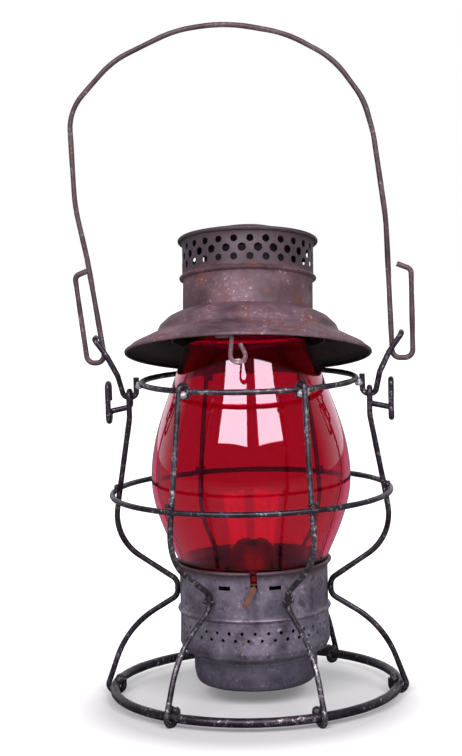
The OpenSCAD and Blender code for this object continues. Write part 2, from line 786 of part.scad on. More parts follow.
module lid_collar() {
    foot = [globe_top_r + 9, brim_z + 8.5];
    outline = [foot, foot + [-0.6, 1.5], [chimney_r + 3.4, brim_z + dome_h - 2.1]];
    color(rust) at_lid() union() {
        spun(outline, sheet);
        ring(foot[0], foot[1], 1.6);
    }
}

// A strip of sheet that lies under the dome, between two distances from the axis.
module under_dome(from_r, to_r) {
    line = [[to_r, seat_z - (to_r - seat_r) * tan(slope)], [from_r, seat_z + (seat_r - from_r) * tan(slope)]];
    lower = beside(line, sheet + seat_gap);
    rotate_extrude() polygon(concat(lower, backwards(beside(lower, 0.8))));
}

// The space under the strips that lie against the dome.
module below_strips() {
    drop = (sheet + seat_gap + 0.1) / cos(slope);
    rotate_extrude() polygon([
        [0, brim_z - 5], [brim_r, brim_z - 5],
        [brim_r, seat_z - (brim_r - seat_r) * tan(slope) - drop], [0, seat_z + seat_r * tan(slope) - drop]
    ]);
}

strap_wall = 0.8;
module hinge_strap() {
    color(rust) at_lid() difference() {
        union() {
            intersection() {
                under_dome(seat_r - 3.5, hinge_y - 0.5);
                translate([-hinge_w / 2, 0, 0]) cube([hinge_w, 100, 300]);
            }
            translate([0, hinge_y, hinge_z]) rotate([0, 90, 0])
                cylinder(r = hinge_bore_r + strap_wall, h = hinge_w, center = true, $fn = 48);
            intersection() {
                translate([-hinge_w / 2, hinge_y - 1.9, hinge_z + 1.5]) cube([hinge_w, 1.2, 6]);
                below_strips();
            }
        }
        translate([0, hinge_y, hinge_z]) rotate([0, 90, 0])
            cylinder(r = hinge_bore_r, h = hinge_w + 2, center = true, $fn = 48);
        for (x = rivet_x)
            at_rivet(x) cylinder(r = rivet_r + 0.05, h = 10, center = true, $fn = 32);
    }
}

module lid_rivets() {
    color(rust) at_lid() for (x = rivet_x)
        at_rivet(x) {
            translate([0, 0, -2.4]) cylinder(r = rivet_r, h = 3, $fn = 32);
            translate([0, 0, 0.15]) difference() {
                sphere(r = 2, $fn = 32);
                translate([-5, -5, -10.3]) cube([10, 10, 10.6]);
            }
            translate([0, 0, -2.6]) cylinder(r = 1.7, h = 0.6, $fn = 32);
        }
}

latch_z = brim_z + 1.1;
latch_mid_x = -5.25;
bracket_w = 16.5;
knuckle_x = -11.5; // left end of the knuckle that the latch loop turns in
knuckle_l = 6.3;
knuckle_wall = 0.5;
module latch_bracket() {
    bore = latch_wire / 2 + 0.08;
    color(rust) at_lid() {
        difference() {
            union() {
                intersection() {
                    under_dome(seat_r - 2.5, seat_r + 8.2);
                    translate([latch_mid_x - bracket_w / 2, -100, 0]) cube([bracket_w, 100, 300]);
                }
                translate([knuckle_x, -latch_r, latch_z]) rotate([0, 90, 0])
                    cylinder(r = bore + knuckle_wall, h = knuckle_l, $fn = 48);
                intersection() {
                    translate([knuckle_x, -latch_r - 0.4, latch_z + 1.5]) cube([knuckle_l, 0.8, 6]);
                    below_strips();
                }
            }
            translate([latch_mid_x - bracket_w, -latch_r, latch_z]) rotate([0, 90, 0])
                cylinder(r = bore, h = 2 * bracket_w, $fn = 48);
        }
        for (x = tab_x)
            at_tab(x) {
                translate([-tab_w / 2, -tab_t / 2, -1.4]) cube([tab_w, tab_t, 2.0]);
                translate([-tab_w / 2, -tab_t / 2, 0.1]) cube([tab_w, 2.6, 0.5]);
            }
    }
}

// The latch loop turns in the bracket and hangs straight down.
module latch_loop() {
    points = [
        [knuckle_x - 0.6, 0, 0],
        [-3, 0, 0],
        [-4.6, 0, -latch_l],
        [6, 0, -latch_l],
        [1.2, 0, 10.5 - latch_l]
    ];
    color(rust) at_lid() translate([0, -latch_r, latch_z]) rotate([lid_open, 0, 0])
        wire(points, [1.8, 4, 3.6], latch_wire);
}

/* Bail */

// The bow is bent a little out of true, as a used one is.
module bail() {
    z = bail_pivot_z;
    in_r = bail_strand_r;
    out_r = bail_strand_r + bail_slot_w;
    l = bail_slot_l;
    points = [
        [-in_r - 7.9, 0, z + l + 3.2],
        [-out_r - 5.6, 0, z + l],
        [-out_r, 0, z],
        [-in_r, 0, z],
        [-in_r - 8.6, 0, z + 60],
        [-in_r - 14.6, 0, z + 90],
        [-in_r - 16.1, 0, z + bail_h - 46.5],
        [-in_r + 9.5, 0, z + bail_h - 19.5],
        [-in_r + 45, 0, z + bail_h - 3.6],
        [-8, 0, z + bail_h],
        [26, 0, z + bail_h - 7],
        [in_r - 29.5, 0, z + bail_h - 22],
        [in_r - 13.3, 0, z + bail_h - 45],
        [in_r - 8.3, 0, z + bail_h - 64],
        [in_r - 2.2, 0, z + 78],
        [in_r, 0, z],
        [out_r + 1.2, 0, z],
        [out_r + 1, 0, z + l],
        [in_r + 3.4, 0, z + l + 3.2]
    ];
    r = bail_slot_w / 2 - 0.6; // bend at the bottom of a slot
    color(rust) wire(points, [3.4, r, r, 150, 100, 28, 50, 70, 90, 70, 50, 40, 60, 150, r, r, 3.4], bail_wire);
}

base_ring();
middle_ring();
top_ring();
guard_left();
guard_right();
guard_front_left();
guard_front_right();
guard_back_left();
guard_back_right();
ear_left();
ear_right();
solder_joints();
burner_cup();
well();
fount();
fount_collar();
burner_plate();
burner_body();
wick_tube();
burner_cone();
wick();
wick_shaft();
thumb_lever();
globe();
lid_dome();
chimney();
chimney_cap();
draft_tube();
lid_collar();
hinge_strap();
lid_rivets();
latch_bracket();
latch_loop();
bail();
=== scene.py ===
# %% [markdown]
# A railroad hand lantern: a wire cage on a ring base, a perforated burner cup, a ruby globe, a
# hinged lid with a pierced chimney, and a bowed wire bail. The solid model of its pieces is loaded
# as a fixed frame, in metres, with +Z up and the front along -Y. This lesson dresses that frame: it
# gives each piece a smooth or worn surface, paints it with procedural materials, lights it and sets
# the camera.

# %% Load the frame
import json
import math

import bmesh
import bpy
from mathutils import Matrix, Vector, noise


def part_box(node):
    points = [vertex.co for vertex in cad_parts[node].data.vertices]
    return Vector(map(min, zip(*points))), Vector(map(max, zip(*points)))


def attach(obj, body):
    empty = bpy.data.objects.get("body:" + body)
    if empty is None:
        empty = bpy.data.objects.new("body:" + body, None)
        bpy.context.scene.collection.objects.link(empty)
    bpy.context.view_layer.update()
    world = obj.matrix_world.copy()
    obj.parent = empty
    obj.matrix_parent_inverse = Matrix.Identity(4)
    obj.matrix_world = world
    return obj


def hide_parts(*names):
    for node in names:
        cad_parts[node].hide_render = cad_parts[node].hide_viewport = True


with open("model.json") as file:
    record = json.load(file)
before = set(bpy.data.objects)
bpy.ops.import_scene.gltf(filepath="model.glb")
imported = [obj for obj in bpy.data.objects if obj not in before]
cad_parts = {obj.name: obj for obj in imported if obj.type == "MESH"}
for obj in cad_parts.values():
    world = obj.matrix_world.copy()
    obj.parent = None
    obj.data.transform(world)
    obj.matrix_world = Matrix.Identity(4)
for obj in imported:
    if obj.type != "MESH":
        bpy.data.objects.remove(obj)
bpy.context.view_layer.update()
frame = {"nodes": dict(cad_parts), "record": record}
MM = 0.001
print("pieces in the frame:", len(frame["nodes"]))

# %% [markdown]
# A procedural material is a tree of nodes. The same few come back in every finish of the lantern: a
# noise, a remap of its values, a blend of two colours, a ramp over the height and a little relief.
# Each could be wired by hand every time, but a short helper for each keeps the recipes readable.
# Every pattern reads Object coordinates, so it sits still on its piece when the lid or the bail
# moves.


# %% Node helpers
def new_material(name):
    """An empty node material, its node tree and its Principled shader."""
    material = bpy.data.materials.new(name)
    material.use_nodes = True
    tree = material.node_tree
    return material, tree, tree.nodes["Principled BSDF"]


def object_coords(tree, stretch=(1, 1, 1), tilt=0):
    """Object coordinates, stretched along the axes, or tilted about X by an angle in radians."""
    coords = tree.nodes.new("ShaderNodeTexCoord")
    mapping = tree.nodes.new("ShaderNodeMapping")
    mapping.inputs["Scale"].default_value = stretch
    mapping.inputs["Rotation"].default_value = (tilt, 0, 0)
    tree.links.new(coords.outputs["Object"], mapping.inputs["Vector"])
    return mapping.outputs["Vector"]


def cloud(tree, coords, scale, detail, roughness=0.55, distortion=0.0):
    """A noise pattern, from 0 to 1. scale is in bumps for each metre."""
    node = tree.nodes.new("ShaderNodeTexNoise")
    node.inputs["Scale"].default_value = scale
    node.inputs["Detail"].default_value = detail
    node.inputs["Roughness"].default_value = roughness
    node.inputs["Distortion"].default_value = distortion
    tree.links.new(coords, node.inputs["Vector"])
    return node.outputs["Fac"]


def cut(tree, value, low, high, top=1.0, bottom=0.0):
    """value remapped: bottom under low, top over high, and a ramp between them."""
    node = tree.nodes.new("ShaderNodeMapRange")
    node.inputs["From Min"].default_value = low
    node.inputs["From Max"].default_value = high
    node.inputs["To Min"].default_value = bottom
    node.inputs["To Max"].default_value = top
    tree.links.new(value, node.inputs["Value"])
    return node.outputs["Result"]


# %% Colours and heights
MIX_BELOW, MIX_ABOVE, MIX_RESULT = 6, 7, 2  # the colour sockets of a Mix node, by number


def blend_colour(tree, amount, below, above):
    """below where amount is 0, above where it is 1. Each is a colour or a socket."""
    node = tree.nodes.new("ShaderNodeMix")
    node.data_type = "RGBA"
    tree.links.new(amount, node.inputs["Factor"])
    for socket, colour in ((node.inputs[MIX_BELOW], below), (node.inputs[MIX_ABOVE], above)):
        if isinstance(colour, bpy.types.NodeSocket):
            tree.links.new(colour, socket)
        else:
            socket.default_value = (*colour, 1)
    return node.outputs[MIX_RESULT]


def times(tree, one, other):
    """The product of two patterns."""
    node = tree.nodes.new("ShaderNodeMath")
    node.operation = "MULTIPLY"
    tree.links.new(one, node.inputs[0])
    tree.links.new(other, node.inputs[1])
    return node.outputs["Value"]


def height_ramp(tree, low, high, top=1.0, tilt=0):
    """0 under the height low, top over the height high. Heights are in metres."""
    split = tree.nodes.new("ShaderNodeSeparateXYZ")
    tree.links.new(object_coords(tree, tilt=tilt), split.inputs["Vector"])
    return cut(tree, split.outputs["Z"], low, high, top)


def grain(tree, shader, height, strength, depth):
    """Fine relief from a height pattern. depth is in metres."""
    node = tree.nodes.new("ShaderNodeBump")
    node.inputs["Strength"].default_value = strength
    node.inputs["Distance"].default_value = depth
    tree.links.new(height, node.inputs["Height"])
    tree.links.new(node.outputs["Normal"], shader.inputs["Normal"])


# %% [markdown]
# Nothing on an old lantern has one flat colour. Its steel is dark where soot and grease stay, rusty
# where the tin has gone, and bright where hands and hooks rub it. Each metal could have a tree of
# its own, but they all age in the same way, so one recipe makes them with different colours: a
# ground colour, broad darker clouds, patches of rust or stain, and fine worn specks.

# %% The recipe for worn metal
PATCH_EDGE, SPECK_EDGE = 0.08, 0.10  # how softly a patch or a speck ends, in values of the noise
COVER = 0.85                         # how much of the ground a patch or a band hides
RELIEF = 0.00025


def worn_metal(name, ground, shade, patch, speck, metallic, rough, patch_at=0.56, speck_at=0.64,
               clouds=45, patches=80, specks=900, band=None):
    """Old metal: ground colour, darker clouds, patches of rust or stain, worn specks.
    A patch or a speck shows where its noise is over patch_at or speck_at. clouds, patches and specks
    are how many of each there are in a metre. band is (low, high, tilt, colour): the metal takes
    that colour from the one height to the other."""
    material, tree, shader = new_material(name)
    coords = object_coords(tree)
    broad = cloud(tree, coords, clouds, 4, 0.6)
    blotch = cloud(tree, coords, patches, 6, 0.65, 0.4)
    fine = cloud(tree, coords, specks, 5, 0.7)
    clear = cut(tree, broad, 0.35, 0.65)  # 0 in the dark of a cloud, 1 outside it
    colour = blend_colour(tree, clear, shade, ground)
    rusty = cut(tree, blotch, patch_at, patch_at + PATCH_EDGE, COVER)
    colour = blend_colour(tree, rusty, colour, patch)
    bright_places = cut(tree, broad, 0.46, 0.60, 0.8, 0.1)  # hardly any specks in a dark cloud
    worn = times(tree, cut(tree, fine, speck_at, speck_at + SPECK_EDGE), bright_places)
    colour = blend_colour(tree, worn, colour, speck)
    if band:
        low, high, tilt, band_colour = band
        colour = blend_colour(tree, height_ramp(tree, low, high, COVER, tilt), colour, band_colour)
    roughness = cut(tree, blotch, 0.3, 0.7, rough + 0.15, rough - 0.1)  # rust is duller
    tree.links.new(colour, shader.inputs["Base Color"])
    tree.links.new(roughness, shader.inputs["Roughness"])
    shader.inputs["Metallic"].default_value = metallic
    grain(tree, shader, fine, 0.6, RELIEF)
    print("material", name, "with", len(tree.nodes), "nodes")
    return material


# %% [markdown]
# The lid of the photographed lantern stands a little open, so its own axis leans back from the
# lantern's. The chimney is painted darker above its upper bead, in a line square to that leaning
# axis. The line could be painted at one height above the floor, but it would run askew round the
# chimney. So the lid's axis is worked out from its hinge, and heights on the lid are measured along
# it.

# %% The lid's own axis
joints = {joint["name"]: joint for joint in frame["record"]["behaviour"]["joints"]}
HINGE = Vector(joints["lid_hinge"]["pos_m"])
LID_OPEN = math.radians(14.3)
LID_AXIS = Vector((0, math.sin(LID_OPEN), math.cos(LID_OPEN)))
LID_MIDDLE = HINGE + HINGE.y * Vector((0, -math.cos(LID_OPEN), math.sin(LID_OPEN)))
BEAD_UP, BAND_SOFT = 0.0445, 0.002  # the chimney's upper bead over the lid's middle, and how softly the darker top begins
UPPER_BEAD = LID_MIDDLE.dot(LID_AXIS) + BEAD_UP
print("the lid's middle is at", [round(v, 4) for v in LID_MIDDLE])

# %% Metals of the lid and the bail
lid_rust = worn_metal(
    "rusted lid sheet", ground=(0.155, 0.091, 0.104), shade=(0.046, 0.025, 0.030),
    patch=(0.110, 0.044, 0.034), speck=(0.42, 0.35, 0.37), metallic=0.15, rough=0.58,
    patch_at=0.53, speck_at=0.56, clouds=38, patches=75, specks=520)
chimney_rust = worn_metal(
    "rusted chimney sheet", ground=(0.115, 0.065, 0.073), shade=(0.050, 0.026, 0.030),
    patch=(0.105, 0.042, 0.032), speck=(0.40, 0.34, 0.36), metallic=0.15, rough=0.58,
    patch_at=0.53, speck_at=0.57, specks=520,
    # the chimney is painted darker above its upper bead
    band=(UPPER_BEAD, UPPER_BEAD + BAND_SOFT, LID_OPEN, (0.030, 0.022, 0.029)))
soot = worn_metal(
    "sooty sheet", ground=(0.022, 0.015, 0.018), shade=(0.012, 0.008, 0.010),
    patch=(0.050, 0.022, 0.018), speck=(0.06, 0.045, 0.045), metallic=0.1, rough=0.75)
bail_rust = worn_metal(
    "rusted bail wire", ground=(0.074, 0.048, 0.053), shade=(0.028, 0.016, 0.019),
    patch=(0.080, 0.034, 0.026), speck=(0.46, 0.42, 0.44), metallic=0.25, rough=0.5,
    patch_at=0.55, speck_at=0.58, clouds=60, patches=120, specks=600)

# %% Metals of the cage
cage_wire = worn_metal(
    "dark cage wire", ground=(0.046, 0.040, 0.050), shade=(0.013, 0.011, 0.015),
    patch=(0.060, 0.034, 0.030), speck=(0.60, 0.59, 0.61), metallic=0.70, rough=0.36,
    patch_at=0.60, speck_at=0.56, clouds=70, patches=140, specks=480)
# A lighter copy of the cage wire: a painted sheen for the wires that face the lamps, the top ring
# and the two front guards
wire_with_painted_sheen = worn_metal(
    "cage wire with painted sheen", ground=(0.074, 0.068, 0.078), shade=(0.024, 0.021, 0.026),
    patch=(0.070, 0.048, 0.044), speck=(0.62, 0.61, 0.63), metallic=0.70, rough=0.36,
    patch_at=0.62, speck_at=0.52, clouds=70, patches=140, specks=480)

# %% Metals of the cup, the solder and the burner
CUP_RUST = (0.0735, 0.0785)    # heights between which the rim of the cup turns rusty
SOLDER_TURNS_BRIGHT = (0.150, 0.165)  # heights between which the solder is painted from dark below to bright above

cup_tin = worn_metal(
    "dulled cup sheet", ground=(0.185, 0.170, 0.210), shade=(0.070, 0.060, 0.082),
    patch=(0.058, 0.045, 0.050), speck=(0.36, 0.35, 0.40), metallic=0.45, rough=0.42,
    speck_at=0.56, clouds=75, patches=150, specks=420,
    band=(*CUP_RUST, 0, (0.060, 0.030, 0.034)))
dull_tin = worn_metal(
    "dulled tinned sheet", ground=(0.105, 0.095, 0.128), shade=(0.055, 0.050, 0.070),
    patch=(0.048, 0.040, 0.046), speck=(0.26, 0.25, 0.28), metallic=0.40, rough=0.45,
    speck_at=0.58, clouds=75, patches=150, specks=420)
old_solder = worn_metal(
    "worn solder", ground=(0.045, 0.042, 0.048), shade=(0.020, 0.018, 0.022),
    patch=(0.07, 0.05, 0.045), speck=(0.45, 0.45, 0.46), metallic=0.55, rough=0.42,
    patch_at=0.60, speck_at=0.62, clouds=120, patches=240, specks=700,
    band=(*SOLDER_TURNS_BRIGHT, 0, (0.42, 0.42, 0.43)))
old_brass = worn_metal(
    "dull brass", ground=(0.34, 0.22, 0.09), shade=(0.14, 0.085, 0.04),
    patch=(0.09, 0.055, 0.035), speck=(0.60, 0.43, 0.20), metallic=0.9, rough=0.42,
    patch_at=0.60, speck_at=0.66)
old_copper = worn_metal(
    "dull copper", ground=(0.30, 0.15, 0.10), shade=(0.13, 0.06, 0.045),
    patch=(0.08, 0.045, 0.035), speck=(0.55, 0.33, 0.24), metallic=0.8, rough=0.45,
    patch_at=0.60, speck_at=0.64)

# %% [markdown]
# The globe is clear ruby glass, about 3 mm thick. It could be one solid see-through shape, or a
# thin red film, but neither bends light as a real wall does. A Principled shader with full
# transmission and the index of common glass is put on both faces of the wall. Its colour is what is
# left of white light after one wall, so light that crosses both walls comes out darker, as on the
# real globe. A clear coat strengthens the reflections of the lamps a little.

# %% Ruby glass
ruby_glass, _, ruby = new_material("ruby glass")
ruby.inputs["Base Color"].default_value = (0.49, 0.003, 0.065, 1)
ruby.inputs["Transmission Weight"].default_value = 1
ruby.inputs["Roughness"].default_value = 0.015
ruby.inputs["IOR"].default_value = 1.5
ruby.inputs["Coat Weight"].default_value = 1
ruby.inputs["Coat Roughness"].default_value = 0.02
ruby.inputs["Coat IOR"].default_value = 1.35

# %% [markdown]
# The wick is woven cotton, cream below and burnt black at its tip. The weave could be modelled
# thread by thread, but it hides in its tube, so a fine noise gives both its colour and its relief,
# and a ramp over the height gives the burnt tip.

# %% Cotton
CHAR = (0.082, 0.086)  # heights between which the wick turns from cream to burnt
cotton, cotton_tree, cotton_shader = new_material("burnt cotton")
weave = cloud(cotton_tree, object_coords(cotton_tree, (1, 1, 0.4)), 1400, 3)
threads = cut(cotton_tree, weave, 0.4, 0.6)
yarn = blend_colour(cotton_tree, threads, (0.55, 0.47, 0.36), (0.75, 0.68, 0.56))
burnt = blend_colour(cotton_tree, height_ramp(cotton_tree, *CHAR), yarn, (0.02, 0.018, 0.016))
cotton_tree.links.new(burnt, cotton_shader.inputs["Base Color"])
cotton_shader.inputs["Roughness"].default_value = 0.9
grain(cotton_tree, cotton_shader, weave, 0.8, 0.0004)
print("materials made:", len(bpy.data.materials))

# %% [markdown]
# The frame's pieces come as loose triangles, which show as flat facets. They could be shown as they
# are with a better material, but a copy whose doubled corners are merged can be shaded smooth, with
# a hard line only where two faces meet at a real angle. Each finished piece is placed in one way:
# shaded, put in the scene, tied to the body that it moves with, and named as what stands for its
# node.

# %% Place a finished piece
WIRE_EDGE, SHEET_EDGE, NO_EDGE = 40, 35, 180  # an edge that turns by more degrees stays hard
bodies = frame["record"]["behaviour"]["bodies"]
BODY = {node: body for body, nodes in bodies.items() for node in nodes}


def place(bm, name, material, node, hard):
    """A finished piece from bm, which stands for a node of the frame and rides on its body."""
    for face in bm.faces:
        face.smooth = True
    for edge in bm.edges:
        edge.smooth = len(edge.link_faces) == 2 and edge.calc_face_angle() < math.radians(hard)
    mesh = bpy.data.meshes.new(name)
    bm.to_mesh(mesh)
    bm.free()
    piece = bpy.data.objects.new(name, mesh)
    bpy.context.scene.collection.objects.link(piece)
    mesh.materials.append(material)
    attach(piece, BODY[node])
    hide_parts(node)
    print(name, "has", len(mesh.polygons), "faces")
    return piece


# %% [markdown]
# Hand-bent wire and knocked sheet are never quite true, which the drawing board leaves out. The
# wear could be painted as bump alone, but then the outline of a wire stays perfect. So long edges
# are subdivided, and each corner is pushed in or out a little along its normal by a soft noise.

# %% Copies of the frame's pieces
DOUBLED, HALVINGS = 2e-6, 6  # corners this near are one; the most times that an edge is halved


def merged(node):
    """A bmesh copy of a node, its doubled corners merged."""
    bm = bmesh.new()
    bm.from_mesh(frame["nodes"][node].data)
    bmesh.ops.remove_doubles(bm, verts=bm.verts, dist=DOUBLED)
    return bm


def subdivide_long(bm, longest):
    """Halves every edge longer than longest, a few times over."""
    for _ in range(HALVINGS):
        long_edges = [e for e in bm.edges if e.calc_length() > longest]
        if not long_edges:
            break
        bmesh.ops.subdivide_edges(bm, edges=long_edges, cuts=1)
        bmesh.ops.triangulate(bm, faces=bm.faces)


def push(bm, size, depth, seed):
    """Moves each corner along its normal by a soft noise of that size and depth, in metres."""
    bm.normal_update()
    away = Vector((seed, seed, seed))
    shifts = [v.normal * depth * noise.noise(v.co / size + away) for v in bm.verts]
    for vert, shift in zip(bm.verts, shifts):
        vert.co += shift


def worn_copy(node, material, longest, size, depth, seed, hard=WIRE_EDGE):
    """A smooth, slightly uneven copy of one node."""
    bm = merged(node)
    subdivide_long(bm, longest)
    push(bm, size, depth, seed)
    return place(bm, "worn_" + node, material, node, hard)


# %% [markdown]
# The cage is plain steel wire, and its three rings are true circles. A ring could be a torus or a
# bevelled curve. Here a small circle of wire is spun round the lantern's axis, because the spin
# operator makes the globe as well. A full spin needs use_merge, which joins its last row to its
# first, and a spin can turn its faces inwards, so their normals are worked out again.

# %% Rings of the cage
WIRE_SIDES = 16


def full_spin(bm, turns):
    """Spins the edges of bm once round the lantern's axis, in that many steps."""
    bmesh.ops.spin(bm, geom=bm.verts[:] + bm.edges[:], cent=(0, 0, 0), axis=(0, 0, 1),
                   dvec=(0, 0, 0), angle=2 * math.pi, steps=turns, use_merge=True,
                   use_duplicate=False)
    bmesh.ops.recalc_face_normals(bm, faces=bm.faces)


def wire_ring(node, material, turns, seed):
    """A ring of round wire in the place of a ring of the frame."""
    low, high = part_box(node)
    wire_r = (high[2] - low[2]) / 2
    ring_r = high[0] - wire_r
    upright = Matrix.Rotation(math.pi / 2, 4, "X")
    bm = bmesh.new()
    bmesh.ops.create_circle(bm, cap_ends=False, segments=WIRE_SIDES, radius=wire_r,
                            matrix=Matrix.Translation((ring_r, 0, low[2] + wire_r)) @ upright)
    full_spin(bm, turns)
    push(bm, size=0.012, depth=0.00012, seed=seed)
    return place(bm, "worn_" + node, material, node, WIRE_EDGE)


wire_ring("base_ring", cage_wire, turns=220, seed=1.7)
wire_ring("middle_ring", cage_wire, turns=220, seed=4.1)
# The top ring takes the lighter wire, a painted sheen where it catches the lamps
wire_ring("top_ring", wire_with_painted_sheen, turns=180, seed=6.3)

# %% [markdown]
# The six guards and the two ears are bent wires that hook round the rings. Their bends could be
# drawn again as curves, but the frame already has them where they clear the rings, so they are
# copied. The two front guards take a lighter copy of the wire, a painted sheen where they face the
# lamps, as on the photographed lantern.

# %% Guards and ears
for number, node in enumerate(["guard_left", "guard_right", "guard_front_left", "guard_front_right",
                               "guard_back_left", "guard_back_right", "ear_left", "ear_right"]):
    worn_copy(node, wire_with_painted_sheen if "front" in node else cage_wire,
              longest=0.004, size=0.011, depth=0.00012, seed=number + 0.3)

# %% [markdown]
# Old solder is a smear that ran round two wires and cooled. The frame holds it as two loose round
# beads at each joint. A smear could be sculpted at each of them, but there are many, so each bead
# is drawn in towards its joint, made larger at the top ring and the feet, and roughened until the
# two run together.


# %% Groups of corners
def islands(bm):
    """The corners of bm in groups that hang together."""
    seen, groups = set(), []
    for start in bm.verts:
        if start in seen:
            continue
        seen.add(start)
        group, waiting = [], [start]
        while waiting:
            vert = waiting.pop()
            group.append(vert)
            for other in (edge.other_vert(vert) for edge in vert.link_edges):
                if other not in seen:
                    seen.add(other)
                    waiting.append(other)
        groups.append(group)
    return groups


# %% Solder
TOP_OVER, FEET_UNDER = 0.16, 0.02  # over the one height is the top ring, under the other the feet
# How many times larger a bead gets, what is left of its way to the joint, and how far that rises
AT_TOP, AT_FOOT, BETWEEN = (1.4, 0.55, 0.0018), (1.7, 0.60, -0.0022), (0.85, 0.68, 0.0)

solder = merged("solder_joints")
beads = islands(solder)
middles = [sum((v.co for v in bead), Vector()) / len(bead) for bead in beads]
for bead, middle in zip(beads, middles):
    twin = min((m for m in middles if m is not middle), key=lambda m: (m - middle).length)
    joint = (middle + twin) / 2
    change = AT_TOP if middle.z > TOP_OVER else AT_FOOT if middle.z < FEET_UNDER else BETWEEN
    grow, reach, rise = change
    joint.z += rise
    for vert in bead:
        vert.co = joint + (middle - joint) * reach + (vert.co - middle) * grow
print("solder joints:", len(beads) // 2)
subdivide_long(solder, 0.0009)
push(solder, size=0.0016, depth=0.0007, seed=3.3)
place(solder, "solder_smears", old_solder, "solder_joints", NO_EDGE)

# %% [markdown]
# The bail is one long wire, bowed by hand and bent into a slot at each end, and the latch is a
# small loop of the same kind. Both are rusted brown like the lid. They are copied from the frame
# too, and the bail gets a longer, deeper waviness, because a long free wire is knocked out of true
# the most.

# %% Bail and latch
worn_copy("bail", bail_rust, longest=0.005, size=0.015, depth=0.00018, seed=9.1)
worn_copy("latch_loop", lid_rust, longest=0.003, size=0.006, depth=0.0001, seed=2.2)

# %% [markdown]
# The globe is blown glass: a smooth curve from its foot to its widest place and in again to its
# mouth. It could be copied from the frame, but facets show in glass more than anywhere else. So a
# few corners of its wall are spun round the axis, and a Subdivision Surface makes the wall flow
# between them. Both faces of the wall are modelled, because the light has to enter and leave it.

# %% The globe's line
GLOBE_FOOT_Z, GLOBE_TOP_Z = (corner[2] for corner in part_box("globe"))
BELLY_R, FOOT_R, MOUTH_R = 57.3 * MM, 40.2 * MM, 34.4 * MM
BELLY_AT = 0.385  # the widest place, as a share of the height
BELLY_Z = GLOBE_FOOT_Z + BELLY_AT * (GLOBE_TOP_Z - GLOBE_FOOT_Z)
FOOT, BELLY = Vector((FOOT_R, 0, GLOBE_FOOT_Z)), Vector((BELLY_R, 0, BELLY_Z))
MOUTH = Vector((MOUTH_R, 0, GLOBE_TOP_Z))
# The way that the wall runs at each place, longer where it keeps that way for longer
FOOT_WAY, BELLY_FROM_FOOT = Vector((1, 0, 20)) * MM, Vector((0, 0, 62)) * MM
BELLY_TO_MOUTH, MOUTH_WAY = Vector((0, 0, 96)) * MM, Vector((-22, 0, 92)) * MM
LOWER_STEPS, UPPER_STEPS = 6, 10


def bowed(a, ta, b, tb, t):
    """A point of a smooth curve from a to b with the tangents ta and tb there."""
    return (a * (1 - t) ** 2 * (1 + 2 * t) + ta * t * (1 - t) ** 2
            + b * t * t * (3 - 2 * t) - tb * t * t * (1 - t))


outer = [bowed(FOOT, FOOT_WAY, BELLY, BELLY_FROM_FOOT, k / LOWER_STEPS) for k in range(LOWER_STEPS)]
outer += [bowed(BELLY, BELLY_TO_MOUTH, MOUTH, MOUTH_WAY, k / UPPER_STEPS)
          for k in range(UPPER_STEPS + 1)]
print("the globe's line has", len(outer), "corners, and its belly is at", round(BELLY_Z, 4))

# %% Globe
GLASS_T = 3 * MM
GLOBE_TURNS, GLOBE_SMOOTH = 72, 2


def inward(wall, thickness):
    """The corners of wall, moved inwards by thickness."""
    moved = []
    for k, corner in enumerate(wall):
        along = wall[min(k + 1, len(wall) - 1)] - wall[max(k - 1, 0)]
        along.normalize()
        moved.append(corner + Vector((-along.z, 0, along.x)) * thickness)
    return moved


glass = bmesh.new()
loop = [glass.verts.new(corner) for corner in outer + inward(outer, GLASS_T)[::-1]]
for one, other in zip(loop, loop[1:] + loop[:1]):
    glass.edges.new((one, other))
full_spin(glass, GLOBE_TURNS)
globe = place(glass, "blown_globe", ruby_glass, "globe", NO_EDGE)
flow = globe.modifiers.new("flow", "SUBSURF")
flow.levels = flow.render_levels = GLOBE_SMOOTH

# %% [markdown]
# The cup and the well are pressed from tinned sheet and the lid from heavier sheet, rolled at the
# rims. Their copies keep the holes, beads and slots of the frame, and get shallow, broad
# unevenness. The flame blackens only the inner faces of the lid. Those could be cut off as pieces
# of their own, but a second material on the faces that look inwards or down does the same with the
# sheet in one piece. The one deeper dent, at the foot of the chimney, is pressed in along a single
# direction, so that the inner face moves with the outer one and the sheet keeps its thickness.

# %% Soot and dents
LOOKS_IN = -0.4  # a face looks inwards or down when its normal is this far against out and up


def sooty_inside(piece):
    """Gives the faces of a lid sheet that look inwards or down the soot of the flame."""
    piece.data.materials.append(soot)
    for face in piece.data.polygons:
        out = face.center - LID_MIDDLE
        out = (out - out.dot(LID_AXIS) * LID_AXIS).normalized()
        if face.normal.dot(out + LID_AXIS) < LOOKS_IN:
            face.material_index = 1


def dent(piece, middle, inwards, radius, depth):
    """Presses a round dent of that radius and depth into a finished piece, along inwards."""
    for vert in piece.data.vertices:
        near = 1 - (vert.co - middle).length_squared / radius ** 2
        if near > 0:
            vert.co += inwards * depth * near ** 2


# %% Cup and well
worn_copy("burner_cup", cup_tin, longest=0.004, size=0.018, depth=0.00025, seed=5.2,
          hard=SHEET_EDGE)
worn_copy("well", dull_tin, longest=0.005, size=0.02, depth=0.0003, seed=7.7, hard=SHEET_EDGE)

# %% Lid
dome = worn_copy("lid_dome", lid_rust, longest=0.005, size=0.022, depth=0.0001, seed=8.4,
                 hard=SHEET_EDGE)
sooty_inside(dome)
chimney = worn_copy("chimney", chimney_rust, longest=0.003, size=0.02, depth=0.0002, seed=1.9,
                    hard=SHEET_EDGE)
sooty_inside(chimney)
